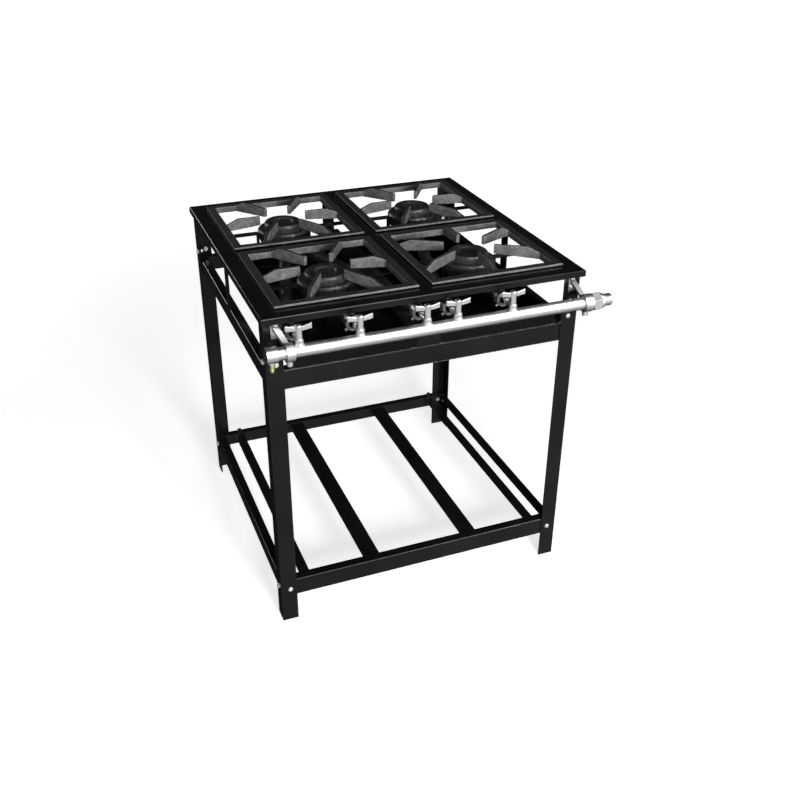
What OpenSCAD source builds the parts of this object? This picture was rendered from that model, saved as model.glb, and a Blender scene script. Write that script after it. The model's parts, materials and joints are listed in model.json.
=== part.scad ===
// Four-burner propane stand: steel angle frame, drip trays, cast burners, cast grates, gas manifold.
// Millimetres. +Z is up, +X is right, the manifold faces -Y. Origin: middle of the bounding box, on the floor.

/* [Stand] */
// Width and depth of the square top sheet
top_w = 700; // [690:5:720]
// Height of the top sheet's upper face above the floor
stand_h = 755; // [600:5:900]
// Thickness of the top sheet and its folded skirt
sheet_t = 2.5; // [1.5:0.5:3]
// Height of the skirt folded down round the top sheet
skirt_h = 15; // [12:1:18]
// Outer radius of the fold between the top and the skirt
bend_r = 4; // [3:0.5:5]
// Flange width of the steel angle legs
leg_w = 36; // [30:1:38]
// Thickness of the steel angle legs
leg_t = 3; // [2:0.5:4]
// Gap from the sheet's side edge to the leg
leg_in_x = 6; // [4:1:10]
// Gap from the sheet's front edge to the leg
leg_in_y = 12; // [8:1:14]

/* [Rails and shelf] */
// Height of the front and back rails
rail_h = 42; // [36:1:46]
// Height of the side rails
side_rail_h = 34; // [30:1:36]
// Thickness of every rail
rail_t = 2; // [1.5:0.5:2.5]
// Width of the flange folded inward along each rail's top
rail_flange = 20; // [16:1:22]
// Drop from the top sheet to the upper front rail
rail_drop = 122; // [118:1:130]
// Height of the shelf rails' top above the floor
shelf_z = 108; // [90:1:200]
// Width of the two middle shelf slats
slat_w = 40; // [30:1:50]
// Width of the two edge shelf slats
edge_slat_w = 24; // [18:1:28]
// Distance of the middle slats from the centre
slat_x = 122; // [100:1:140]
// Distance of the edge slats from the centre
edge_slat_x = 283; // [270:1:288]

/* [Grates] */
// Outer side of one square grate
grate_w = 300; // [290:5:310]
// Gap between neighbouring grates
grate_gap = 28; // [24:1:34]
// Width of the grate's rim
rim_w = 18; // [16:1:20]
// Height of the rim above the sheet
rim_top = 6.5; // [5:0.5:9]
// Height of the fingers above the sheet
finger_top = 19; // [16:1:24]
// Thickness of one finger
finger_t = 8; // [6:1:10]
// Distance of the finger tips from the burner's centre
finger_r = 55; // [52:1:60]

/* [Burners] */
// Outer radius of the burner bowl
bowl_r = 60; // [56:1:62]
// Outer radius of the lift-off burner cap
cap_r = 44; // [40:1:45]
// Outer radius of the mixing tube
tube_r = 14; // [12:0.5:15]
// Ports in each flame ring
ports = 18; // [12:2:24]

/* [Gas line] */
// Outer radius of the manifold pipe
pipe_r = 13; // [11:0.5:13]
// Distance of the pipe's axis in front of the top sheet
pipe_out = 30; // [28:1:36]
// Drop from the top sheet to the pipe's axis
pipe_drop = 61; // [61:1:67]
// Drop from the top sheet to the gas jets
jet_drop = 42; // [41:1:42]
// Half span of a valve handle's wings
wing_r = 26; // [20:1:26]

/* [Drip trays] */
// Front to back length of a drip tray
tray_l = 528; // [400:4:640]
// Height of a drip tray
tray_h = 24; // [18:1:25]
// Sheet thickness of the trays and runners
tray_t = 1.5; // [1:0.5:2]
// Half width of the middle runner
runner_w = 24; // [18:1:30]

/* [Hidden] */
$fn = 48;
half = top_w / 2;
under = stand_h - sheet_t;
burner_x = (grate_w + grate_gap) / 2;
opening = grate_w - 2 * (rim_w - 7);
leg_x = half - leg_in_x;
leg_y = half - leg_in_y;
// Inner faces of the legs, where the rails sit
in_x = leg_x - leg_t;
in_y = leg_y - leg_t;
// Outer radius of the fold along each rail's top edge
fold_r = 2.5;
rail_z = stand_h - rail_drop;
side_z = rail_z - rail_t;
shelf_side_z = shelf_z - rail_t;
ear_z = rail_z + 24;
// Bolts: distance from the leg's corner and the two heights
bolt_in = 21;
bolt_hi = rail_z + 16;
bolt_lo = shelf_z - 22;
bolt_r = 3;
hole_r = 3.25;
head_r = 6;
head_h = 4;
nut_r = 5.8;
nut_h = 5;
// Gas line
pipe_y = -half - pipe_out;
pipe_z = stand_h - pipe_drop;
pipe_x0 = -347;
pipe_x1 = 352;
cap_x = -352;
nipple_x = -341;
inlet_x = 396;
ring_x_left = -306;
ring_x_right = 338;
ring_r = pipe_r + 6;
bore_r = pipe_r - 2;
mid_x = (cap_x + inlet_x) / 2;
mid_y = (half + pipe_y - ring_r) / 2;
gas_z = stand_h - jet_drop;
mouth_y = -half + 13;
elbow_y = mouth_y + 37;
tube_bore = tube_r - 3;
boss_top = pipe_z + pipe_r + 0.4;
valve_top = stand_h - 34;
jet_y = mouth_y - 1.5;
fit = 0.05;
// Valves from left to right; the outer rear burner has a feed on each side of the front one
x_rear_left_outer = -burner_x - 122;
x_front_left = -burner_x;
x_rear_left_inner = -burner_x + 140;
x_rear_right = burner_x - 122;
x_front_right = burner_x;
VALVES_X = [x_rear_left_outer, x_front_left, x_rear_left_inner, x_rear_right, x_front_right];
// Burner seats
strap_z = stand_h - 20;
bowl_z = stand_h - 62;
strap_w = 18;
strap_t = 3;
// Drip trays
ledge_z = rail_z + tray_t;
tray_x0 = runner_w + 1;
tray_x1 = 292;

// ---- helpers ----

// Puts the middle of the whole stand's bounding box over the origin
module centred() {
  translate([-mid_x, -mid_y, 0])
    children();
}

// A box between two corners, each axis given as [low, high]
module block(x, y, z) {
  translate([x[0], y[0], z[0]])
    cube([x[1] - x[0], y[1] - y[0], z[1] - z[0]]);
}

// Moves a front-left child to the corner (sx, sy)
module corner(sx, sy) {
  mirror([sx > 0 ? 1 : 0, 0, 0])
    mirror([0, sy > 0 ? 1 : 0, 0])
      children();
}

module all_corners() {
  for (sx = [-1, 1], sy = [-1, 1])
    corner(sx, sy) children();
}

// A cylinder from a point towards +Y, turned by angle a about Z
module tube_y(p, r, l, a = 0) {
  translate(p)
    rotate([-90, 0, a])
      cylinder(h = l, r = r);
}

// A cylinder from a point towards +X
module tube_x(x0, x1, r) {
  translate([x0, pipe_y, pipe_z])
    rotate([0, 90, 0])
      cylinder(h = x1 - x0, r = r);
}

// ---- frame ----

// Side view of the folded top: skirt, bends and top face as one solid outline
module folded_outline() {
  bend = [for (a = [0 : 22.5 : 90]) bend_r * [cos(a) - 1, sin(a) - 1]];
  right = [for (p = bend) [half + p[0], stand_h + p[1]]];
  left = [for (i = [len(bend) - 1 : -1 : 0]) [-half - bend[i][0], stand_h + bend[i][1]]];
  polygon(concat([[-half, stand_h - skirt_h], [half, stand_h - skirt_h]], right, left));
}

module top_frame() {
  centred()
    color([0.03, 0.03, 0.03])
      difference() {
        intersection() {
          rotate([90, 0, 0])
            linear_extrude(top_w + 2, center = true) folded_outline();
          rotate([90, 0, 90])
            linear_extrude(top_w + 2, center = true) folded_outline();
        }
        block([-half + sheet_t, half - sheet_t], [-half + sheet_t, half - sheet_t],
              [stand_h - skirt_h - 1, under]);
        for (sx = [-1, 1], sy = [-1, 1])
          translate([sx * burner_x - opening / 2, sy * burner_x - opening / 2, under - 1])
            cube([opening, opening, sheet_t + 2]);
      }
}

module leg(sx, sy) {
  color([0.04, 0.04, 0.04])
    corner(sx, sy)
      difference() {
        translate([-leg_x, -leg_y, 0])
          linear_extrude(under)
            polygon([[0, 0], [leg_w, 0], [leg_w, leg_t], [leg_t, leg_t], [leg_t, leg_w], [0, leg_w]]);
        frame_holes();
        if (sy < 0)
          bracket_hole();
      }
}

module leg_front_left() centred() leg(-1, -1);
module leg_front_right() centred() leg(1, -1);
module leg_back_left() centred() leg(-1, 1);
module leg_back_right() centred() leg(1, 1);

// Bolt holes through one corner's leg and rails
module frame_holes() {
  for (z = [bolt_hi, bolt_lo]) {
    tube_y([-leg_x + bolt_in, -leg_y - 1, z], hole_r, leg_t + rail_t + 2);
    translate([-leg_x - 1, -leg_y + bolt_in, z])
      rotate([0, 90, 0])
        cylinder(h = leg_t + rail_t + 2, r = hole_r);
  }
}

module bracket_hole() {
  tube_y([-leg_x + bolt_in, -leg_y - 1, stand_h - 38], hole_r, leg_t + 2);
}

// Prism taken off a rail's top corner, which leaves the outside of the fold
module fold_cut(length) {
  arc = [for (a = [0 : 22.5 : 90]) fold_r * [1 - cos(a), sin(a) - 1]];
  linear_extrude(length)
    polygon(concat([[-1, -fold_r]], arc, [[fold_r, 1], [-1, 1]]));
}

// Front rail at height z: face, inward flange, and bolt ears where the face ends below the bolts
module cross_rail(z, ears) {
  reach = ears ? in_x - leg_w + leg_t : in_x + 1;
  color([0.04, 0.04, 0.04])
    difference() {
      union() {
        block([-in_x, in_x], [-in_y, -in_y + rail_t], [z - rail_h, z]);
        block([-in_x + rail_t + 0.5, in_x - rail_t - 0.5], [-in_y, -in_y + rail_t + rail_flange], [z - rail_t, z]);
        if (ears)
          for (s = [-1, 1])
            block([s * in_x - (s > 0 ? leg_w - leg_t : 0), s * in_x + (s > 0 ? 0 : leg_w - leg_t)],
                  [-in_y, -in_y + rail_t], [z - rail_t, ear_z]);
      }
      translate([-reach, -in_y, z])
        rotate([90, 0, 90])
          fold_cut(2 * reach);
      all_corners() frame_holes();
    }
}

// Left rail at height z, between the front and back rails
module side_rail(z, ears) {
  y1 = in_y - rail_t;
  reach = ears ? y1 - 28 : y1 + 1;
  color([0.05, 0.05, 0.05])
    difference() {
      union() {
        block([-in_x, -in_x + rail_t], [-y1, y1], [z - side_rail_h, z]);
        block([-in_x, -in_x + rail_flange], [-y1, y1], [z - rail_t, z]);
        if (ears)
          for (s = [-1, 1])
            block([-in_x, -in_x + rail_t], [s * y1 - (s > 0 ? 28 : 0), s * y1 + (s > 0 ? 0 : 28)],
                  [z - rail_t, ear_z]);
      }
      translate([-in_x, reach, z])
        rotate([90, 0, 0])
          fold_cut(2 * reach);
      all_corners() frame_holes();
    }
}

module upper_rail_front() centred() cross_rail(rail_z, true);
module upper_rail_back() centred() mirror([0, 1, 0]) cross_rail(rail_z, true);
module upper_rail_left() centred() side_rail(side_z, true);
module upper_rail_right() centred() mirror([1, 0, 0]) side_rail(side_z, true);
module shelf_rail_front() centred() cross_rail(shelf_z, false);
module shelf_rail_back() centred() mirror([0, 1, 0]) cross_rail(shelf_z, false);
module shelf_rail_left() centred() side_rail(shelf_side_z, false);
module shelf_rail_right() centred() mirror([1, 0, 0]) side_rail(shelf_side_z, false);

// Two wide slats welded under the shelf rails' flanges
module shelf_slats() {
  y1 = in_y - rail_t;
  centred()
    color([0.03, 0.03, 0.03])
      for (s = [-1, 1])
        block([s * slat_x - slat_w / 2, s * slat_x + slat_w / 2], [-y1, y1], [shelf_side_z - 3, shelf_side_z]);
}

// Two narrow slats beside the side rails, with a tab bent up at the back end
module shelf_edge_slats() {
  y1 = in_y - rail_t;
  yb = in_y - rail_t - rail_flange - 1;
  centred()
    color([0.03, 0.03, 0.03])
      for (s = [-1, 1]) {
        block([s * edge_slat_x - edge_slat_w / 2, s * edge_slat_x + edge_slat_w / 2],
              [-y1, yb], [shelf_side_z - 3, shelf_side_z]);
        block([s * edge_slat_x - 5, s * edge_slat_x + 5], [yb - 3, yb], [shelf_side_z - 3, shelf_side_z + 20]);
      }
}

// Flat straps that tie the top sheet to the middle of the side and back rails
module hanger_straps() {
  centred()
    color([0.03, 0.03, 0.03]) {
      for (s = [-1, 1])
        block([s * in_x - (s > 0 ? 3 : 0), s * in_x + (s > 0 ? 0 : 3)], [-15, 15], [side_z, under]);
      block([-15, 15], [in_y - 3, in_y], [rail_z, under]);
    }
}

// One flat strap per burner row, dipping under each bowl
module burner_support() {
  dip = bowl_r + 1;
  ends = half - sheet_t - 2;
  color([0.04, 0.04, 0.04])
    difference() {
      translate([0, -strap_w / 2, 0])
        for (s = [-1, 1]) {
          block([min(s * ends, s * (ends - strap_t)), max(s * ends, s * (ends - strap_t))],
                [0, strap_w], [strap_z - strap_t, under]);
          block([min(s * ends, s * (burner_x + dip)), max(s * ends, s * (burner_x + dip))],
                [0, strap_w], [strap_z - strap_t, strap_z]);
          for (e = [-1, 1])
            block([s * burner_x + e * (dip + strap_t / 2) - strap_t / 2,
                   s * burner_x + e * (dip + strap_t / 2) + strap_t / 2],
                  [0, strap_w], [bowl_z - strap_t, strap_z]);
          block([s * burner_x - dip - strap_t, s * burner_x + dip + strap_t],
                [0, strap_w], [bowl_z - strap_t, bowl_z]);
          block([min(0, s * (burner_x - dip)), max(0, s * (burner_x - dip))],
                [0, strap_w], [strap_z - strap_t, strap_z]);
        }
      for (s = [-1, 1])
        translate([s * burner_x, 0, bowl_z - strap_t - 1])
          cylinder(h = strap_t + 2, r = hole_r);
    }
}

module burner_support_front() centred() translate([0, -burner_x, 0]) burner_support();
module burner_support_back() centred() translate([0, burner_x, 0]) burner_support();

// ---- drip trays ----

// Hat-shaped runner between the two trays, closed at the front
module tray_runner_centre() {
  top = rail_z + tray_h + 1;
  back = in_y - rail_t - 3;
  centred()
    color([0.04, 0.04, 0.04]) {
      block([-runner_w, runner_w], [-in_y, back], [top - tray_t, top]);
      block([-runner_w, runner_w], [-in_y, -in_y + tray_t], [rail_z, top]);
      for (s = [-1, 1]) {
        block([s * runner_w - (s > 0 ? tray_t : 0), s * runner_w + (s > 0 ? 0 : tray_t)],
              [-in_y, back], [rail_z, top]);
        block([min(s * runner_w, s * (runner_w + 14)), max(s * runner_w, s * (runner_w + 14))],
              [-in_y, back], [rail_z, ledge_z]);
      }
    }
}

// Angle runners under the trays' outer edges
module tray_side_runners() {
  up = tray_x1 + 1.5;
  back = in_y - rail_t - 3;
  centred()
    color([0.04, 0.04, 0.04])
      for (s = [0, 1])
        mirror([s, 0, 0]) {
          block([tray_x1 - 9, up + tray_t], [-in_y, back], [rail_z, ledge_z]);
          block([up, up + tray_t], [-in_y, back], [rail_z, rail_z + 8]);
        }
}

module drip_tray() {
  z0 = ledge_z + fit;
  y0 = -in_y;
  color([0.05, 0.05, 0.05])
    difference() {
      block([tray_x0, tray_x1], [y0, y0 + tray_l], [z0, z0 + tray_h]);
      block([tray_x0 + tray_t, tray_x1 - tray_t], [y0 + tray_t, y0 + tray_l - tray_t],
            [z0 + tray_t, z0 + tray_h - tray_t]);
      block([tray_x0 + tray_t, tray_x1 - tray_t], [y0 + 10, y0 + tray_l - tray_t],
            [z0 + tray_t, z0 + tray_h + 1]);
    }
}

module drip_tray_left() centred() mirror([1, 0, 0]) drip_tray();
module drip_tray_right() centred() drip_tray();

// ---- grates ----

// One finger along +X: a plate that slopes up from the rim and runs level to its tip
module finger(root) {
  rotate([90, 0, 0])
    translate([0, 0, -finger_t / 2])
      linear_extrude(finger_t)
        polygon([[finger_r, stand_h - 1], [root, stand_h - 8], [root + 4, stand_h - 8],
                 [root + 4, stand_h + rim_top], [root - 25, stand_h + finger_top],
                 [finger_r, stand_h + finger_top]]);
}

module grate(cx, cy, turn) {
  inner = grate_w - 2 * rim_w;
  lip = grate_w / 2;
  seat = lip - 6;
  skirt = opening / 2 - 1;
  color([0.16, 0.16, 0.16])
    translate([cx, cy, 0])
      rotate([0, 0, turn])
        union() {
          difference() {
            union() {
              block([-lip, lip], [-lip, lip], [stand_h + 2, stand_h + rim_top]);
              block([-seat, seat], [-seat, seat], [stand_h + fit, stand_h + 3]);
              block([-skirt, skirt], [-skirt, skirt], [stand_h - 8, stand_h + 3]);
            }
            block([-inner / 2, inner / 2], [-inner / 2, inner / 2], [stand_h - 9, stand_h + rim_top + 1]);
          }
          for (a = [0, 180])
            rotate([0, 0, a]) finger(inner / 2);
          for (a = [60, 120, 240, 300])
            rotate([0, 0, a]) finger(inner / 2 / sin(60));
        }
}

module grate_front_left() centred() grate(-burner_x, -burner_x, 0);
module grate_front_right() centred() grate(burner_x, -burner_x, 90);
module grate_back_left() centred() grate(-burner_x, burner_x, 0);
module grate_back_right() centred() grate(burner_x, burner_x, 0);

// ---- burners ----

// Mixing tube from a mouth at x to the bowl centre: straight stub, elbow, straight run
module mixing_tube(x, cx, cy, r, start) {
  dx = cx - x;
  dy = cy - elbow_y;
  run = sqrt(dx * dx + dy * dy) - bowl_r / 2;
  if (dx == 0) {
    tube_y([x, start, gas_z], r, elbow_y - start + run);
  } else {
    tube_y([x, start, gas_z], r, elbow_y - start);
    translate([x, elbow_y, gas_z])
      sphere(r = r + 1);
    tube_y([x, elbow_y, gas_z], r, run, atan2(-dx, dy));
  }
}

module burner_body(cx, cy, feeds) {
  h = stand_h;
  color([0.12, 0.12, 0.12])
    difference() {
      union() {
        translate([cx, cy, 0])
          rotate_extrude()
            polygon([[0, bowl_z], [36, bowl_z], [54, h - 46], [bowl_r, h - 34], [bowl_r, h - 18],
                     [bowl_r - 3, h - 14], [0, h - 14]]);
        for (x = feeds)
          mixing_tube(x, cx, cy, tube_r, mouth_y);
        tube_y([cx, cy - bowl_r - 4, h - 26], 9, 12);
      }
      // Gas chamber and the seat of the cap
      translate([cx, cy, 0])
        rotate_extrude()
          polygon([[0, h - 55], [30, h - 55], [40, h - 44], [40, h - 18], [46, h - 18], [46, h - 13], [0, h - 13]]);
      // Ring chamber and ports of the outer flame
      translate([cx, cy, 0])
        rotate_extrude()
          polygon([[46.5, h - 40], [55, h - 33], [55, h - 21], [46.5, h - 21]]);
      for (i = [0 : ports - 1])
        rotate_about(cx, cy, i * 360 / ports)
          translate([51, 0, h - 23])
            cylinder(h = 12, r = 1.8);
      for (x = feeds) {
        mixing_tube(x, cx, cy, tube_bore, mouth_y - 1);
        shutter_windows(x);
      }
      // Tapped hole for the bolt through the support
      translate([cx, cy, bowl_z - 1])
        cylinder(h = 6, r = bolt_r);
    }
}

module rotate_about(cx, cy, a) {
  translate([cx, cy, 0])
    rotate([0, 0, a])
      children();
}

// Air windows cut through both sides of a tube mouth
module shutter_windows(x) {
  block([x - 25, x + 25], [mouth_y + 3, mouth_y + 9], [gas_z - 6, gas_z + 6]);
}

module burner_body_front_left() centred() burner_body(-burner_x, -burner_x, [x_front_left]);
module burner_body_front_right() centred() burner_body(burner_x, -burner_x, [x_front_right]);
module burner_body_back_left() centred() burner_body(-burner_x, burner_x, [x_rear_left_outer, x_rear_left_inner]);
module burner_body_back_right() centred() burner_body(burner_x, burner_x, [x_rear_right]);

// Lift-off cap: domed top, ported wall, skirt that locates it in the bowl
module burner_cap(sx, sy) {
  h = stand_h;
  color([0.14, 0.14, 0.14])
    difference() {
      translate([sx * burner_x, sy * burner_x, 0])
        rotate_extrude()
          polygon([[0, h - 6], [34, h - 6], [34, h - 26], [39.4, h - 26], [39.4, h - 18 + fit],
                   [cap_r, h - 18 + fit], [cap_r, h - 3], [cap_r - 3, h + 1], [24, h + 2],
                   [20, h - 1], [0, h - 1]]);
      for (i = [0 : ports - 1])
        rotate_about(sx * burner_x, sy * burner_x, i * 360 / ports)
          translate([30, 0, h - 11])
            rotate([0, 90, 0])
              cylinder(h = 20, r = 1.8);
    }
}

module burner_cap_front_left() centred() burner_cap(-1, -1);
module burner_cap_front_right() centred() burner_cap(1, -1);
module burner_cap_back_left() centred() burner_cap(-1, 1);
module burner_cap_back_right() centred() burner_cap(1, 1);

// Sleeve that turns on a tube mouth to open or close its air windows
module air_shutter(x) {
  sleeve = tube_r + 1.6;
  color([0.5, 0.5, 0.5])
    difference() {
      union() {
        tube_y([x, mouth_y - 4, gas_z], sleeve, 16);
        translate([x, mouth_y + 1, gas_z])
          rotate([0, -135, 0])
            translate([0, 0, tube_r + 1])
              cylinder(h = 6, r = 2.5);
      }
      tube_y([x, mouth_y - 2, gas_z], tube_r + fit, 20);
      tube_y([x, mouth_y - 5, gas_z], 9, 5);
      shutter_windows(x);
    }
}

module air_shutter_rear_left_outer() centred() air_shutter(x_rear_left_outer);
module air_shutter_front_left() centred() air_shutter(x_front_left);
module air_shutter_rear_left_inner() centred() air_shutter(x_rear_left_inner);
module air_shutter_rear_right() centred() air_shutter(x_rear_right);
module air_shutter_front_right() centred() air_shutter(x_front_right);

// ---- gas line ----

module manifold_pipe() {
  centred()
    color([0.85, 0.85, 0.86])
      difference() {
        union() {
          tube_x(pipe_x0, pipe_x1, pipe_r);
          for (x = VALVES_X)
            translate([x, pipe_y, pipe_z])
              cylinder(h = boss_top - pipe_z, r = 9.5);
        }
        tube_x(pipe_x0 - 1, pipe_x1 + 1, bore_r);
        for (x = VALVES_X)
          translate([x, pipe_y, pipe_z])
            cylinder(h = boss_top - pipe_z + 1, r = 3);
      }
}

module manifold_end_cap() {
  centred()
    color([0.85, 0.85, 0.86])
      difference() {
        union() {
          tube_x(cap_x, cap_x + 22, 16);
          translate([nipple_x, pipe_y, pipe_z - 18])
            cylinder(h = 8, r = 7);
        }
        tube_x(pipe_x0 - fit, cap_x + 23, pipe_r + fit);
        translate([nipple_x, pipe_y, pipe_z - 19])
          cylinder(h = 8, r = 3);
      }
}

// Brass nipple under the end cap: hexagon and ribbed spigot
module test_nipple() {
  z = pipe_z - 18;
  centred()
    color([0.75, 0.68, 0.4])
      translate([nipple_x, pipe_y, 0])
        difference() {
          union() {
            translate([0, 0, z - 8])
              cylinder(h = 8, r = 6.2, $fn = 6);
            translate([0, 0, z - 12])
              cylinder(h = 5, r = 4);
            translate([0, 0, z - 18])
              cylinder(h = 6, r1 = 4.2, r2 = 5.5);
          }
          translate([0, 0, z - 19])
            cylinder(h = 20, r = 2);
        }
}

module inlet_coupling() {
  centred()
    color([0.85, 0.85, 0.86])
      difference() {
        union() {
          translate([350, pipe_y, pipe_z])
            rotate([0, 90, 0])
              cylinder(h = 18, r = 20.5, $fn = 6);
          tube_x(347, 350, 17);
          tube_x(368, 372, 17);
        }
        tube_x(346, pipe_x1 + fit, pipe_r + fit);
        tube_x(pipe_x1 - 1, 373, 11 + fit);
      }
}

module inlet_nipple() {
  centred()
    color([0.85, 0.85, 0.86])
      difference() {
        union() {
          tube_x(356, 373, 11);
          tube_x(372, 376, 16);
          tube_x(376, inlet_x, 13);
        }
        tube_x(355, inlet_x + 1, 9);
      }
}

// Holder: plate on the leg, sloping strap, ring round the pipe with a locking screw below
module manifold_bracket(x_leg, x_ring) {
  yaw = atan2(x_ring - x_leg, 30);
  color([0.8, 0.8, 0.82])
    difference() {
      union() {
        block([x_leg - 7, x_leg + 7], [-leg_y - 3, -leg_y], [stand_h - 48, stand_h - 18]);
        translate([x_leg, -leg_y, stand_h])
          rotate([90, 0, 90 + yaw])
            translate([0, 0, -7])
              linear_extrude(14)
                polygon([[0, -18], [0, -23], [-30, -54], [-34, -51]]);
        tube_x(x_ring - 8, x_ring + 8, ring_r);
        translate([x_ring, pipe_y, pipe_z - pipe_r - 9])
          cylinder(h = 5, r = 6);
      }
      tube_x(x_ring - 60, x_ring + 60, pipe_r + fit);
      translate([x_ring, pipe_y, pipe_z - pipe_r - 10])
        cylinder(h = 10, r = bolt_r + fit);
      tube_y([x_leg, -leg_y - 10, stand_h - 38], hole_r, 12);
      // Flat back against the leg
      block([x_leg - 12, x_leg + 12], [-leg_y, -leg_y + 12], [stand_h - 60, stand_h - 10]);
    }
}

module manifold_bracket_left() centred() manifold_bracket(-leg_x + bolt_in, ring_x_left);
module manifold_bracket_right() centred() manifold_bracket(leg_x - bolt_in, ring_x_right);

// Valve: body on the pipe's boss, outlet and jet towards the mixing tube, spindle for the handle
module valve_body(x) {
  color([0.85, 0.85, 0.86])
    difference() {
      union() {
        translate([x, pipe_y, boss_top])
          cylinder(h = 9, r1 = 10, r2 = 7);
        translate([x, pipe_y, boss_top])
          cylinder(h = valve_top - boss_top, r = 7.2);
        translate([x, pipe_y, valve_top])
          cylinder(h = 18, r = 3);
        tube_y([x, pipe_y, gas_z], 5.5, -half - pipe_y - 2);
        tube_y([x, pipe_y, gas_z], 3.5, jet_y - pipe_y);
      }
      translate([x, pipe_y, boss_top - 1])
        cylinder(h = gas_z - boss_top + 5, r = 3);
      tube_y([x, pipe_y, gas_z], 2, jet_y - pipe_y - 3);
      tube_y([x, pipe_y, gas_z], 0.6, jet_y - pipe_y + 1);
    }
}

module valve_body_rear_left_outer() centred() valve_body(x_rear_left_outer);
module valve_body_front_left() centred() valve_body(x_front_left);
module valve_body_rear_left_inner() centred() valve_body(x_rear_left_inner);
module valve_body_rear_right() centred() valve_body(x_rear_right);
module valve_body_front_right() centred() valve_body(x_front_right);

// Winged handle: hub on the spindle and two flat wings that rise outward
module valve_handle(x) {
  z0 = valve_top + fit;
  color([0.9, 0.9, 0.9])
    translate([x, pipe_y, 0])
      difference() {
        union() {
          translate([0, 0, z0])
            cylinder(h = 25, r = 6.8);
          translate([0, 0, z0 + 25])
            cylinder(h = 2, r1 = 6.8, r2 = 4.8);
          for (s = [0, 180])
            rotate([90, 0, s])
              translate([0, 0, -2])
                linear_extrude(4)
                  polygon([[4, z0 + 14], [wing_r, z0 + 17], [wing_r, z0 + 28], [4, z0 + 22.5]]);
        }
        translate([0, 0, z0 - 1])
          cylinder(h = 19.5, r = 3 + fit);
      }
}

module valve_handle_rear_left_outer() centred() valve_handle(x_rear_left_outer);
module valve_handle_front_left() centred() valve_handle(x_front_left);
module valve_handle_rear_left_inner() centred() valve_handle(x_rear_left_inner);
module valve_handle_rear_right() centred() valve_handle(x_rear_right);
module valve_handle_front_right() centred() valve_handle(x_front_right);

// ---- fasteners ----

// Round-head bolt along +Y with its head outside the face at y
module bolt_y(x, y, z, grip) {
  tube_y([x, y, z], bolt_r, grip + nut_h + 2);
  tube_y([x, y - head_h, z], head_r, head_h);
}

module frame_bolts() {
  grip = leg_t + rail_t;
  centred()
    color([0.75, 0.75, 0.76]) {
      all_corners()
        for (z = [bolt_hi, bolt_lo]) {
          bolt_y(-leg_x + bolt_in, -leg_y, z, grip);
          translate([-leg_x, -leg_y + bolt_in, z])
            rotate([0, 0, -90])
              bolt_y(0, 0, 0, grip);
        }
      for (s = [-1, 1])
        bolt_y(s * (leg_x - bolt_in), -leg_y - 3, stand_h - 38, leg_t + 3);
    }
}

// Hexagon nut along +Y with its near face at y
module nut_y(x, y, z) {
  difference() {
    translate([x, y, z])
      rotate([-90, 0, 0])
        cylinder(h = nut_h, r = nut_r, $fn = 6);
    tube_y([x, y - 1, z], bolt_r + fit, nut_h + 2);
  }
}

module frame_nuts() {
  grip = leg_t + rail_t;
  centred()
    color([0.7, 0.7, 0.72]) {
      all_corners()
        for (z = [bolt_hi, bolt_lo]) {
          nut_y(-leg_x + bolt_in, -leg_y + grip, z);
          translate([-leg_x + grip, -leg_y + bolt_in, z])
            rotate([0, 0, -90])
              nut_y(0, 0, 0);
        }
      for (s = [-1, 1])
        nut_y(s * (leg_x - bolt_in), -leg_y + leg_t, stand_h - 38);
    }
}

module burner_bolts() {
  centred()
    color([0.7, 0.7, 0.72])
      for (sx = [-1, 1], sy = [-1, 1])
        translate([sx * burner_x, sy * burner_x, bowl_z - strap_t]) {
          cylinder(h = strap_t + 4.5, r = bolt_r - fit);
          translate([0, 0, -4])
            cylinder(h = 4, r = nut_r, $fn = 6);
        }
}

module clamp_screws() {
  centred()
    color([0.8, 0.8, 0.8])
      for (x = [ring_x_left, ring_x_right])
        translate([x, pipe_y, pipe_z - pipe_r - 9]) {
          cylinder(h = 9, r = bolt_r);
          translate([0, 0, -6])
            cylinder(h = 6, r = 6.5);
        }
}

// ---- output ----

top_frame();
leg_front_left();
leg_front_right();
leg_back_left();
leg_back_right();
upper_rail_front();
upper_rail_back();
upper_rail_left();
upper_rail_right();
shelf_rail_front();
shelf_rail_back();
shelf_rail_left();
shelf_rail_right();
shelf_slats();
shelf_edge_slats();
hanger_straps();
burner_support_front();
burner_support_back();
tray_runner_centre();
tray_side_runners();
drip_tray_left();
drip_tray_right();
grate_front_left();
grate_front_right();
grate_back_left();
grate_back_right();
burner_body_front_left();
burner_body_front_right();
burner_body_back_left();
burner_body_back_right();
burner_cap_front_left();
burner_cap_front_right();
burner_cap_back_left();
burner_cap_back_right();
manifold_pipe();
manifold_end_cap();
test_nipple();
inlet_coupling();
inlet_nipple();
manifold_bracket_left();
manifold_bracket_right();
valve_body_rear_left_outer();
valve_body_front_left();
valve_body_rear_left_inner();
valve_body_rear_right();
valve_body_front_right();
valve_handle_rear_left_outer();
valve_handle_front_left();
valve_handle_rear_left_inner();
valve_handle_rear_right();
valve_handle_front_right();
air_shutter_rear_left_outer();
air_shutter_front_left();
air_shutter_rear_left_inner();
air_shutter_rear_right();
air_shutter_front_right();
frame_bolts();
frame_nuts();
burner_bolts();
clamp_screws();
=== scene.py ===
"""Looks of the four-burner propane stand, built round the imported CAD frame, in its metres."""

import json
import math
import random

import bmesh
import bpy
from mathutils import Matrix, Vector, noise


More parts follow.
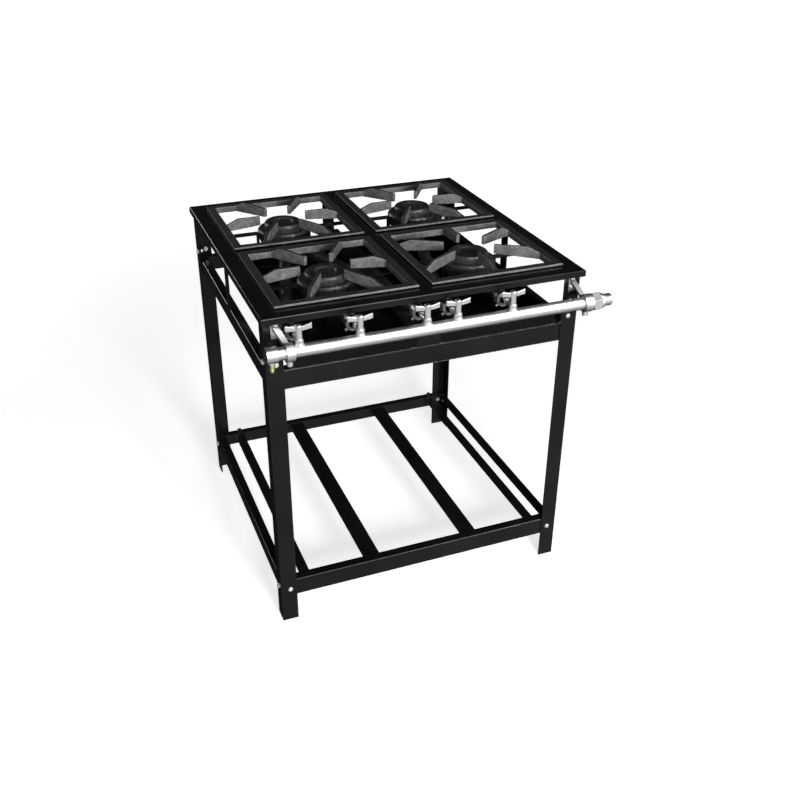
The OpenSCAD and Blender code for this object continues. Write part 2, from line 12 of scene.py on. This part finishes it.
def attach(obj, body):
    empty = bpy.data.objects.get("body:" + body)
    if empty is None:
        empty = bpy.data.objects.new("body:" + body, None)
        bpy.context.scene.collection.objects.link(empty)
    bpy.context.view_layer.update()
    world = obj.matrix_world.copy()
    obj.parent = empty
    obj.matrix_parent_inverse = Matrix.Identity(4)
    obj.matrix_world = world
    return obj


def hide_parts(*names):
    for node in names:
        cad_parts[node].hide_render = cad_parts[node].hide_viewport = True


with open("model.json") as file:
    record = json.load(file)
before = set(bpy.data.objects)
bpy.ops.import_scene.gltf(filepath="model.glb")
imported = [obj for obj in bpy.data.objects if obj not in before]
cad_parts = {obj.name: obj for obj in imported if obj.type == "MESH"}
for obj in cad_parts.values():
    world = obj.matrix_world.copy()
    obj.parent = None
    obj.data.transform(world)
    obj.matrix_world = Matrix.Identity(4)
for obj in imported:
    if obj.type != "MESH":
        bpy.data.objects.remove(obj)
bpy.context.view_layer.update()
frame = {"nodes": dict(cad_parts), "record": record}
nodes = frame["nodes"]
record = frame["record"]
slot_of = {part["node"]: part["material_slot"] for part in record["subparts"]}
body_of = {n: body for body, names in record["behaviour"]["bodies"].items() for n in names}
rng = random.Random(7)

MM = 0.001
SAME_POINT = 0.01 * MM              # points closer than this are one point
MIDDLE = Vector((-22 * MM, 24.5 * MM, 0))   # centre of the square top, seen from above


def nodes_named(prefix):
    return sorted(n for n in nodes if n.startswith(prefix))


# ---- shader nodes ----

def plug(nt, value, socket):
    """Links an output socket, or sets a plain value."""
    if hasattr(value, "is_output"):
        nt.links.new(value, socket)
    else:
        socket.default_value = value


def map_range(nt, value, low, high, out_low, out_high, shape="LINEAR"):
    """Maps low..high to out_low..out_high, held at both ends."""
    n = nt.nodes.new("ShaderNodeMapRange")
    n.interpolation_type = shape
    plug(nt, value, n.inputs["Value"])
    n.inputs["From Min"].default_value = low
    n.inputs["From Max"].default_value = high
    n.inputs["To Min"].default_value = out_low
    n.inputs["To Max"].default_value = out_high
    return n.outputs["Result"]


def arithmetic(nt, op, a, b=0.0):
    n = nt.nodes.new("ShaderNodeMath")
    n.operation = op
    plug(nt, a, n.inputs[0])
    plug(nt, b, n.inputs[1])
    return n.outputs[0]


def mix(nt, fac, a, b, kind="RGBA"):
    """a where fac is 0, b where it is 1, for colours or plain numbers."""
    first, out = {"RGBA": (6, 2), "FLOAT": (2, 0)}[kind]
    n = nt.nodes.new("ShaderNodeMix")
    n.data_type = kind
    plug(nt, fac, n.inputs[0])
    plug(nt, a, n.inputs[first])
    plug(nt, b, n.inputs[first + 1])
    return n.outputs[out]


class Tree:
    """A node material with helpers that return output sockets. Noise scales are per metre."""

    def __init__(self, name):
        self.mat = bpy.data.materials.new(name)
        self.mat.use_nodes = True
        self.nt = self.mat.node_tree
        self.bsdf = next(n for n in self.nt.nodes if n.type == "BSDF_PRINCIPLED")
        self.coord = self.nt.nodes.new("ShaderNodeTexCoord").outputs["Object"]

    def scaled(self, xyz):
        n = self.nt.nodes.new("ShaderNodeMapping")
        n.inputs["Scale"].default_value = xyz
        self.nt.links.new(self.coord, n.inputs["Vector"])
        return n.outputs["Vector"]

    def noise(self, scale, detail=4.0, rough=0.55, vector=None):
        n = self.nt.nodes.new("ShaderNodeTexNoise")
        n.inputs["Scale"].default_value = scale
        n.inputs["Detail"].default_value = detail
        n.inputs["Roughness"].default_value = rough
        self.nt.links.new(vector or self.coord, n.inputs["Vector"])
        return n.outputs["Fac"]

    def voronoi(self, scale):
        n = self.nt.nodes.new("ShaderNodeTexVoronoi")
        n.inputs["Scale"].default_value = scale
        self.nt.links.new(self.coord, n.inputs["Vector"])
        return n.outputs["Distance"]

    def ramp(self, value, low, high, out_low=0.0, out_high=1.0):
        return map_range(self.nt, value, low, high, out_low, out_high, "SMOOTHSTEP")

    def times(self, a, b):
        return arithmetic(self.nt, "MULTIPLY", a, b)

    def plus(self, a, b):
        return arithmetic(self.nt, "ADD", a, b)

    def mix(self, fac, a, b):
        return mix(self.nt, fac, a, b)

    def edges(self, radius, low, high):
        """1 on sharp convex and concave edges within radius, 0 on flats."""
        n = self.nt.nodes.new("ShaderNodeBevel")
        n.samples = 4
        n.inputs["Radius"].default_value = radius
        geo = self.nt.nodes.new("ShaderNodeNewGeometry")
        dot = self.nt.nodes.new("ShaderNodeVectorMath")
        dot.operation = "DOT_PRODUCT"
        self.nt.links.new(n.outputs["Normal"], dot.inputs[0])
        self.nt.links.new(geo.outputs["True Normal"], dot.inputs[1])
        return self.ramp(dot.outputs["Value"], high, low)

    def level(self):
        """1 on faces that look up or down, 0 on upright faces."""
        geo = self.nt.nodes.new("ShaderNodeNewGeometry")
        sep = self.nt.nodes.new("ShaderNodeSeparateXYZ")
        self.nt.links.new(geo.outputs["True Normal"], sep.inputs[0])
        return self.ramp(arithmetic(self.nt, "ABSOLUTE", sep.outputs["Z"]), 0.35, 0.8)

    def bumps(self, layers):
        """Stacks (height socket, strength, distance) bumps into the shader's normal."""
        normal = None
        for height, strength, distance in layers:
            n = self.nt.nodes.new("ShaderNodeBump")
            n.inputs["Strength"].default_value = strength
            n.inputs["Distance"].default_value = distance
            self.nt.links.new(height, n.inputs["Height"])
            if normal is not None:
                self.nt.links.new(normal, n.inputs["Normal"])
            normal = n.outputs["Normal"]
        self.nt.links.new(normal, self.bsdf.inputs["Normal"])

    def finish(self, colour, rough, metal=0.0, specular=0.5):
        for value, name in ((colour, "Base Color"), (rough, "Roughness"),
                            (metal, "Metallic"), (specular, "Specular IOR Level")):
            plug(self.nt, value, self.bsdf.inputs[name])
        return self.mat


# ---- materials ----

def grey(v, warm=0.0):
    return (v * (1 + warm), v, v * (1 - warm), 1.0)


def darker(colour, share):
    return tuple(c * share for c in colour[:3]) + (1.0,)


def black_paint(name, low, high, rough, specular=0.2, fold=0.9 * MM, wear_and_highlight=0.09):
    """Gloss paint from grey low to grey high. Within fold of an edge it turns to the given edge grey,
    partly wear and partly a painted highlight.
    """
    t = Tree(name)
    blotch = t.ramp(t.noise(scale=9.0, detail=5.0), 0.3, 0.7)
    smear = t.noise(scale=38.0, rough=0.6, vector=t.scaled((1.0, 1.0, 0.35)))
    patchy = t.ramp(t.noise(scale=60.0, detail=3.0), 0.3, 0.7, 0.55, 1.0)
    edge = t.times(t.edges(fold, low=0.90, high=0.995), patchy)
    speck = t.ramp(t.voronoi(scale=260.0), 0.06, 0.03)
    dust = t.times(speck, t.ramp(t.noise(scale=30.0), 0.5, 0.62))
    base = t.mix(blotch, grey(low, 0.03), grey(high, 0.05))
    base = t.mix(t.times(dust, 0.25), base, grey(0.12))
    # Edges turn to a lighter grey: partly paint wear, partly a painted highlight along folds and edges.
    base = t.mix(t.times(edge, 0.5), base, grey(wear_and_highlight, 0.02))
    shine = t.ramp(smear, 0.32, 0.72, rough - 0.04, rough + 0.10)
    shine = t.plus(shine, t.times(dust, 0.2))
    orange_peel = (t.noise(scale=700.0, detail=2.0), 0.05, 0.3 * MM)
    waves = (t.noise(scale=26.0, detail=2.0), 0.05, 1.0 * MM)
    t.bumps([orange_peel, waves])
    return t.finish(base, shine, specular=specular)


def cast_iron(name, low, high, rough, grain, lit_upright_grey, wear_and_highlight):
    """Sand-cast iron from grey low to grey high. Upright faces get the given lighter grey, a painted
    highlight standing in for light from the front, with real streaks and stains on it.
    """
    t = Tree(name)
    broad = t.noise(scale=26.0, detail=5.0, rough=0.6)
    fine = t.noise(scale=420.0, rough=0.65)
    edge = t.times(t.edges(1.6 * MM, low=0.86, high=0.99), t.ramp(fine, 0.3, 0.6, 0.25, 0.85))
    seasoned = t.mix(t.ramp(broad, 0.3, 0.7), grey(low), grey(high, 0.02))
    streaks = t.ramp(t.noise(scale=48.0, detail=6.0, rough=0.7), 0.36, 0.66)
    # Upright faces: a lighter grey as a painted highlight for the front light, with real streaks and
    # stains on it
    stained_lit_upright = t.mix(streaks, grey(lit_upright_grey * 0.5), grey(lit_upright_grey, 0.01))
    stains = t.ramp(t.noise(scale=190.0, rough=0.7), 0.46, 0.62, 0.0, 0.6)
    stained_lit_upright = t.mix(stains, stained_lit_upright, grey(lit_upright_grey * 0.35))
    # Level faces keep the iron's dark tone; upright faces take the painted lighter grey
    base = t.mix(t.level(), stained_lit_upright, seasoned)
    base = t.mix(t.ramp(fine, 0.42, 0.7, 0.0, 0.45), base, grey(high * 1.7))
    # Edges go to a lighter grey: partly wear, partly a painted highlight.
    base = t.mix(edge, base, grey(wear_and_highlight))
    rust = t.times(t.ramp(t.noise(scale=55.0, detail=6.0, rough=0.7), 0.62, 0.75), 0.25)
    base = t.mix(rust, base, (0.075, 0.052, 0.038, 1.0))
    shine = t.ramp(t.noise(scale=140.0), 0.3, 0.7, rough - 0.1, rough + 0.12)
    pits = t.ramp(t.voronoi(scale=330.0), 0.0, 0.22)
    t.bumps([(fine, grain, 0.5 * MM), (pits, 0.35, 0.35 * MM), (broad, 0.25, 1.2 * MM)])
    return t.finish(base, shine, metal=0.15, specular=0.4)


def plated(name, colour, rough, along=(1.0, 1.0, 1.0), dull=0.0):
    """Bright metal with fine drawn lines, clouds and dull spots. Lines run along the small scale."""
    t = Tree(name)
    lines = t.noise(scale=900.0, detail=3.0, rough=0.6, vector=t.scaled(along))
    cloud = t.noise(scale=18.0, detail=5.0)
    spots = t.ramp(t.noise(scale=75.0, detail=6.0, rough=0.7), 0.58, 0.72)
    base = t.mix(t.ramp(cloud, 0.3, 0.75), colour, darker(colour, 0.86))
    base = t.mix(t.times(spots, 0.35 + dull), base, darker(colour, 0.62))
    shine = t.plus(t.ramp(cloud, 0.3, 0.7, rough - 0.05, rough + 0.09),
                   t.ramp(lines, 0.3, 0.7, 0.0, 0.1))
    t.bumps([(lines, 0.12, 0.12 * MM), (t.noise(scale=160.0), 0.08, 0.35 * MM)])
    return t.finish(base, shine, metal=1.0, specular=0.6)


MATS = {
    "black_paint": black_paint("black_paint", 0.005, 0.010, rough=0.15),
    # The front rail's fold turns light grey over a wide band: a painted highlight along the fold, with a
    # little wear
    "rail_paint_fold_highlight": black_paint("rail_paint_fold_highlight", 0.006, 0.011, rough=0.15, fold=2.6 * MM, wear_and_highlight=0.7),
    # The trays' paint is darker, with lighter edge lines that are partly wear and partly a painted
    # highlight
    "tray_paint": black_paint("tray_paint", 0.003, 0.006, rough=0.20, specular=0.10, wear_and_highlight=0.2),
    # Castings: lighter upright faces are a painted highlight for the front light; lighter edges are
    # partly wear, partly a painted highlight
    "cast_grate": cast_iron("cast_grate", 0.010, 0.022, rough=0.60, grain=0.45, lit_upright_grey=0.26, wear_and_highlight=0.5),
    "cast_burner": cast_iron("cast_burner", 0.012, 0.030, rough=0.34, grain=0.9, lit_upright_grey=0.08, wear_and_highlight=0.45),
    "chrome": plated("chrome", (0.76, 0.765, 0.77, 1.0), rough=0.26, along=(0.02, 1.0, 1.0)),
    "bare_steel": plated("bare_steel", (0.72, 0.725, 0.735, 1.0), rough=0.30, along=(1.0, 1.0, 0.05),
                         dull=0.1),
    "dark_steel": plated("dark_steel", (0.46, 0.46, 0.47, 1.0), rough=0.24, dull=0.1),
    "brass": plated("brass", (0.80, 0.78, 0.42, 1.0), rough=0.30),
    "zinc": plated("zinc", (0.83, 0.83, 0.84, 1.0), rough=0.30, dull=0.05),
}
# Nodes whose material differs from their slot's: the front rail's turns light grey in a wide band at its
# fold, a painted highlight; the trays' is darker, with lighter edge lines that are partly a painted
# highlight
OWN_PAINT = {"upper_rail_front": "rail_paint_fold_highlight", "drip_tray_left": "tray_paint",
             "drip_tray_right": "tray_paint"}


# ---- shading and softened edges for the CAD nodes ----

def smooth_group(name, degrees):
    """Geometry nodes: drops imported normals, shades smooth and keeps edges over the angle sharp."""
    g = bpy.data.node_groups.new(name, "GeometryNodeTree")
    g.interface.new_socket("Geometry", in_out="INPUT", socket_type="NodeSocketGeometry")
    g.interface.new_socket("Geometry", in_out="OUTPUT", socket_type="NodeSocketGeometry")
    start, end = g.nodes.new("NodeGroupInput"), g.nodes.new("NodeGroupOutput")
    drop = g.nodes.new("GeometryNodeRemoveAttribute")
    drop.inputs["Name"].default_value = "custom_normal"
    smooth = g.nodes.new("GeometryNodeSetShadeSmooth")
    smooth.domain = "FACE"
    sharp = g.nodes.new("GeometryNodeSetShadeSmooth")
    sharp.domain = "EDGE"
    sharp.inputs["Shade Smooth"].default_value = False
    angle = g.nodes.new("GeometryNodeInputMeshEdgeAngle")
    over = g.nodes.new("FunctionNodeCompare")
    over.data_type = "FLOAT"
    over.operation = "GREATER_THAN"
    over.inputs[1].default_value = math.radians(degrees)
    for output, target in (
        (angle.outputs["Unsigned Angle"], over.inputs[0]),
        (over.outputs[0], sharp.inputs["Selection"]),
        (start.outputs[0], drop.inputs[0]),
        (drop.outputs[0], smooth.inputs["Geometry"]),
        (smooth.outputs[0], sharp.inputs["Geometry"]),
        (sharp.outputs[0], end.inputs[0]),
    ):
        g.links.new(output, target)
    return g


SMOOTH = smooth_group("shade_by_angle", 40.0)
SHEET = smooth_group("shade_flat_sheet", 12.0)   # the sheet's folds stay flat facets
FLAT_ANGLE = 0.5      # degrees within which neighbouring faces are joined into one flat
EDGE_ANGLE = 35.0     # degrees over which an edge is rounded
# How far the edges of each slot are rounded, in mm
EDGE_WIDTH = {"black_paint": 0.8, "cast_grate": 1.4, "cast_burner": 1.0, "chrome": 0.5,
              "bare_steel": 0.5, "dark_steel": 0.4, "brass": 0.4, "zinc": 0.4}


def weld(obj):
    w = obj.modifiers.new("weld", "WELD")
    w.merge_threshold = SAME_POINT


def soften(obj, width, shade=SMOOTH):
    """Rounds the edges of a piece and sets its shading, with modifiers only."""
    weld(obj)
    if width > 0:
        # Flats are joined first, or the rounding cuts grooves along their sliver triangles
        d = obj.modifiers.new("flats", "DECIMATE")
        d.decimate_type = "DISSOLVE"
        d.angle_limit = math.radians(FLAT_ANGLE)
        b = obj.modifiers.new("edges", "BEVEL")
        b.width = width
        b.segments = 2
        b.limit_method = "ANGLE"
        b.angle_limit = math.radians(EDGE_ANGLE)
        b.use_clamp_overlap = True
        b.miter_outer = "MITER_ARC"
    s = obj.modifiers.new("shade", "NODES")
    s.node_group = shade
    n = obj.modifiers.new("normals", "WEIGHTED_NORMAL")
    n.keep_sharp = True


def paint(obj, material):
    obj.data.materials.clear()
    obj.data.materials.append(material)


for name, obj in nodes.items():
    slot = slot_of[name]
    paint(obj, MATS[OWN_PAINT.get(name, slot)])
    soften(obj, EDGE_WIDTH[slot] * MM, SHEET if slot == "black_paint" else SMOOTH)


# ---- castings that stand for CAD nodes ----

def place(obj, node, slot):
    """Gives a new piece the material of a slot and the body of a CAD node."""
    paint(obj, MATS[slot])
    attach(obj, body_of[node])
    return obj


def casting(node, voxel, slot):
    """A cast copy of a CAD node: voxelled finely and relaxed, which rounds edges and fills corners."""
    mesh = nodes[node].data.copy()
    obj = bpy.data.objects.new(node + "_casting", mesh)
    bpy.context.scene.collection.objects.link(obj)
    weld(obj)
    r = obj.modifiers.new("voxels", "REMESH")
    r.mode = "VOXEL"
    r.voxel_size = voxel
    s = obj.modifiers.new("relax", "SMOOTH")
    s.factor = 0.5
    s.iterations = 1
    depsgraph = bpy.context.evaluated_depsgraph_get()
    depsgraph.update()
    out = bpy.data.meshes.new_from_object(obj.evaluated_get(depsgraph), depsgraph=depsgraph)
    obj.modifiers.clear()
    obj.data = out
    bpy.data.meshes.remove(mesh)
    for p in out.polygons:
        p.use_smooth = True
    place(obj, node, slot)
    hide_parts(node)
    return obj


def rough_up(obj, amount, size, seed):
    """Moves the points along their normals by soft noise, as sand casting leaves them."""
    shift = Vector((seed * 3.1, seed * 1.7, seed * 2.3))
    # Every normal is read before a point moves
    points = [(v.co.copy(), v.normal.copy()) for v in obj.data.vertices]
    moved = []
    for p, normal in points:
        moved.extend(p + normal * (noise.noise(p / size + shift) * amount))
    obj.data.vertices.foreach_set("co", moved)
    obj.data.update()


for seed, name in enumerate(nodes_named("grate_")):
    rough_up(casting(name, 1.2 * MM, "cast_grate"), 0.35 * MM, 14 * MM, seed)
for name in nodes_named("valve_handle_"):
    casting(name, 0.6 * MM, "chrome")


# ---- turned pieces and welds ----

class Shell:
    """Points and faces gathered from several closed forms into one piece."""

    def __init__(self):
        self.verts, self.faces = [], []

    def add(self, verts, faces):
        base = len(self.verts)
        self.verts += verts
        self.faces += [tuple(base + i for i in face) for face in faces]

    def build(self, name, node, slot):
        mesh = bpy.data.meshes.new(name)
        mesh.from_pydata(self.verts, [], self.faces)
        mesh.update()
        for p in mesh.polygons:
            p.use_smooth = True
        obj = bpy.data.objects.new(name, mesh)
        bpy.context.scene.collection.objects.link(obj)
        return place(obj, node, slot)


def ring_faces(around, across):
    """Faces of a closed band: around sections of across points each."""
    faces = []
    for i in range(around):
        j = (i + 1) % around
        for k in range(across):
            m = (k + 1) % across
            faces.append((i * across + k, j * across + k, j * across + m, i * across + m))
    return faces


def lathe(profile, origin, axis, steps=28):
    """Verts and faces of a closed outline of (radius, height) in mm, turned about an axis."""
    turn = Vector((0, 0, 1)).rotation_difference(Vector(axis).normalized())
    verts = []
    for i in range(steps):
        a = 2 * math.pi * i / steps
        for r, h in profile:
            out, up = r * MM, h * MM
            verts.append(Vector(origin) + turn @ Vector((out * math.cos(a), out * math.sin(a), up)))
    return verts, ring_faces(steps, len(profile))


def islands(name):
    """Bounding boxes of the separate solids in a CAD node."""
    bm = bmesh.new()
    bm.from_mesh(nodes[name].data)
    bmesh.ops.remove_doubles(bm, verts=bm.verts, dist=SAME_POINT)
    seen, boxes = set(), []
    for v in bm.verts:
        if v.index in seen:
            continue
        stack, points = [v], []
        seen.add(v.index)
        while stack:
            q = stack.pop()
            points.append(q.co.copy())
            for e in q.link_edges:
                w = e.other_vert(q)
                if w.index not in seen:
                    seen.add(w.index)
                    stack.append(w)
        low = Vector([min(p[i] for p in points) for i in range(3)])
        high = Vector([max(p[i] for p in points) for i in range(3)])
        boxes.append((low, high))
    bm.free()
    return boxes


def domed_bolts():
    """Round-head bolts with a driver socket and rolled threads, one on each CAD bolt."""
    head = [(0.0, 1.5), (1.7, 1.5), (1.9, 0.25), (2.6, 0.0), (3.9, 0.35), (5.0, 1.05), (5.7, 2.0),
            (5.97, 3.0), (6.0, 3.95), (3.1, 3.95)]
    thread_start, pitch, crest, root, tip = 4.4, 0.75, 2.98, 2.7, 2.6
    shell = Shell()
    for low, high in islands("frame_bolts"):
        size = high - low
        along = max(range(3), key=lambda i: size[i])
        centre = (low + high) / 2
        out = -1.0 if centre[along] < MIDDLE[along] else 1.0
        origin = centre.copy()
        origin[along] = high[along] if out > 0 else low[along]
        axis = Vector((0, 0, 0))
        axis[along] = -out
        length = size[along] / MM
        profile = list(head)
        h = thread_start
        while h < length - 0.5:
            profile += [(crest, h), (crest, h + 0.18), (root, h + 0.45)]
            h += pitch
        profile += [(tip, length - 0.05), (0.0, length - 0.05)]
        shell.add(*lathe(profile, origin, axis))
    obj = shell.build("frame_bolts_domed", "frame_bolts", "zinc")
    soften(obj, 0)
    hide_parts("frame_bolts")


def threaded_nipple():
    """The inlet nipple with its collar and outside thread."""
    low, high = islands("inlet_nipple")[0]
    start = Vector((low.x, (low.y + high.y) / 2, (low.z + high.z) / 2))
    collar = (high.y - low.y) / 2 / MM
    length = (high.x - low.x) / MM
    bore, body = 9.0, 11.0
    thread_start, pitch, crest, root, relief = 21.2, 1.8, 13.0, 12.2, 12.3
    profile = [(bore, 0.0), (10.6, 0.0), (body, 0.5), (body, 16.0), (collar - 0.6, 16.0),
               (collar, 16.6), (collar, 19.4), (collar - 0.6, 20.0), (relief, 20.0),
               (relief, thread_start)]
    h = thread_start
    while h < length - 2.6:
        profile += [(crest, h + 0.55), (crest, h + 0.75), (root, h + 1.4), (root, h + 1.6)]
        h += pitch
    profile += [(relief, length - 1.0), (11.6, length - 0.05), (9.3, length - 0.05),
                (bore, length - 0.5)]
    shell = Shell()
    shell.add(*lathe(profile, start, (1, 0, 0), 64))
    obj = shell.build("inlet_nipple_threaded", "inlet_nipple", "chrome")
    soften(obj, 0)
    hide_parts("inlet_nipple")


def boss_welds():
    """Rippled weld beads round the feet of the five bosses, following the pipe's curve."""
    low, high = islands("manifold_pipe")[0]
    pipe_y = (low.y + high.y) / 2
    pipe_r = (high.y - low.y) / 2
    pipe_z = low.z + pipe_r
    rings, sides, bead, reach, ripples = 72, 10, 1.5 * MM, 9.6 * MM, 16
    shell = Shell()
    for name in nodes_named("valve_body_"):
        box_low, box_high = islands(name)[0]
        x = (box_low.x + box_high.x) / 2
        shift = rng.uniform(0, 9)
        verts = []
        for i in range(rings):
            a = 2 * math.pi * i / rings
            out = Vector((math.cos(a), math.sin(a), 0))
            at = Vector((x, pipe_y, 0)) + out * reach
            at.z = pipe_z + math.sqrt(pipe_r ** 2 - (reach * math.sin(a)) ** 2)
            wobble = 0.1 * noise.noise(Vector((a * 3, shift, 0)))
            swell = 1.0 + 0.12 * math.sin(a * ripples + shift) + wobble
            for k in range(sides):
                b = 2 * math.pi * k / sides
                verts.append(at + (out * math.cos(b) + Vector((0, 0, 1)) * math.sin(b)) * bead * swell)
        shell.add(verts, ring_faces(rings, sides))
    shell.build("boss_welds", "manifold_pipe", "chrome")


def stem_sleeves():
    """A slightly barrelled sleeve round the stem of each valve, from the boss to under the handle."""
    foot_radius = 10 * MM      # the widest part of the CAD body
    foot_height, handle_gap = 3 * MM, 18.6 * MM
    inside, rim, shoulder, belly = 6.0, 7.3, 8.2, 8.9
    shell = Shell()
    for name in nodes_named("valve_body_"):
        low, high = islands(name)[0]
        foot = Vector(((low.x + high.x) / 2, low.y + foot_radius, low.z + foot_height))
        length = (high.z - handle_gap - foot.z) / MM
        profile = [(inside, 0.0), (rim, 0.0), (shoulder, length / 12), (belly, length / 6),
                   (belly, length * 5 / 6), (shoulder, length * 11 / 12), (rim, length),
                   (inside, length)]
        shell.add(*lathe(profile, foot, (0, 0, 1), 48))
    obj = shell.build("valve_stem_sleeves", "valve_body_front_left", "chrome")
    soften(obj, 0)


domed_bolts()
threaded_nipple()
boss_welds()
stem_sleeves()


# ---- floor, light and camera ----

def studio_world():
    """White to the camera, a bright front and dark back in reflections, and a faint fill on the rest."""
    w = bpy.data.worlds.new("studio")
    bpy.context.scene.world = w
    w.use_nodes = True
    nt = w.node_tree
    nt.nodes.clear()
    out = nt.nodes.new("ShaderNodeOutputWorld")
    path = nt.nodes.new("ShaderNodeLightPath")
    coord = nt.nodes.new("ShaderNodeTexCoord")
    ray = nt.nodes.new("ShaderNodeSeparateXYZ")
    nt.links.new(coord.outputs["Generated"], ray.inputs[0])
    below = map_range(nt, ray.outputs["Z"], -0.75, -0.1, 0.55, 1.0)
    front = map_range(nt, ray.outputs["Y"], -0.45, 0.15, 0.85, 0.03)
    reflected = arithmetic(nt, "MULTIPLY", front, below)
    fill = map_range(nt, ray.outputs["X"], -0.7, 0.7, 0.14, 0.12)
    strength = mix(nt, path.outputs["Is Glossy Ray"], fill, reflected, "FLOAT")
    strength = mix(nt, path.outputs["Is Camera Ray"], strength, 1.0, "FLOAT")
    bg = nt.nodes.new("ShaderNodeBackground")
    bg.inputs["Color"].default_value = (1.0, 1.0, 1.0, 1.0)
    nt.links.new(strength, bg.inputs["Strength"])
    nt.links.new(bg.outputs[0], out.inputs["Surface"])


def area_light(name, place_at, aim, size, power, diffuse=False):
    """A rectangular light that shows only in reflections, or only as diffuse light."""
    data = bpy.data.lights.new(name, "AREA")
    data.shape = "RECTANGLE"
    data.size, data.size_y = size
    data.energy = power
    obj = bpy.data.objects.new(name, data)
    obj.location = place_at
    obj.rotation_euler = (Vector(aim) - Vector(place_at)).to_track_quat("-Z", "Y").to_euler()
    obj.visible_diffuse = diffuse
    obj.visible_glossy = not diffuse
    bpy.context.scene.collection.objects.link(obj)


def floor_plane():
    """A glowing pale floor that is a little darker under the stand and lights nothing else."""
    half, sink = 14.0, 0.2 * MM
    mesh = bpy.data.meshes.new("floor")
    corners = [(-half, -half, 0), (half, -half, 0), (half, half, 0), (-half, half, 0)]
    mesh.from_pydata(corners, [], [(0, 1, 2, 3)])
    obj = bpy.data.objects.new("floor", mesh)
    obj.location.z = -sink
    bpy.context.scene.collection.objects.link(obj)
    t = Tree("floor")
    t.bsdf.inputs["Emission Color"].default_value = (1.0, 1.0, 1.0, 1.0)
    away = t.nt.nodes.new("ShaderNodeVectorMath")
    away.operation = "LENGTH"
    t.nt.links.new(t.coord, away.inputs[0])
    glow = t.ramp(away.outputs["Value"], 0.9, 3.2, 0.72, 1.0)
    plug(t.nt, glow, t.bsdf.inputs["Emission Strength"])
    obj.data.materials.append(t.finish(grey(0.86), 0.9, specular=0.0))
    obj.visible_glossy = False
    obj.visible_diffuse = False


def camera():
    """Centred lens, from the front left and above, at the viewing angle of the picture."""
    sensor, lens = 36.0, 43.52                       # mm
    yaw, pitch, roll = 0.3786, 0.5203, 0.0069        # radians
    place_at = (-0.7344, -1.9436, 1.5238)
    data = bpy.data.cameras.new("camera")
    data.sensor_width = sensor
    data.lens = lens
    obj = bpy.data.objects.new("camera", data)
    ahead = Vector((math.sin(yaw) * math.cos(pitch), math.cos(yaw) * math.cos(pitch), -math.sin(pitch)))
    level = Vector((math.cos(yaw), -math.sin(yaw), 0.0))
    upright = level.cross(ahead)
    right = level * math.cos(roll) + upright * math.sin(roll)
    up = upright * math.cos(roll) - level * math.sin(roll)
    rows = Matrix((right, up, -ahead)).transposed().to_4x4()
    obj.matrix_world = Matrix.Translation(place_at) @ rows
    bpy.context.scene.collection.objects.link(obj)
    bpy.context.scene.camera = obj


studio_world()
area_light("front_box", (1.1, -2.9, 1.7), (0.0, 0.0, 0.65), (2.6, 0.9), 57.0)
area_light("fold_box", (1.1, -2.0, 2.9), (0.0, 0.0, 0.7), (2.8, 1.0), 95.0)
area_light("low_strip", (1.0, -3.0, 1.28), (0.0, -0.3, 0.66), (2.4, 0.35), 22.0)
area_light("left_strip", (-1.6, 2.6, 1.6), (0.0, 0.0, 0.7), (1.6, 0.5), 18.0)
area_light("key", (0.0, -3.4, 1.5), (0.0, 0.0, 0.7), (0.8, 0.8), 116.0, diffuse=True)
floor_plane()
camera()
bpy.context.scene.view_settings.view_transform = "Standard"
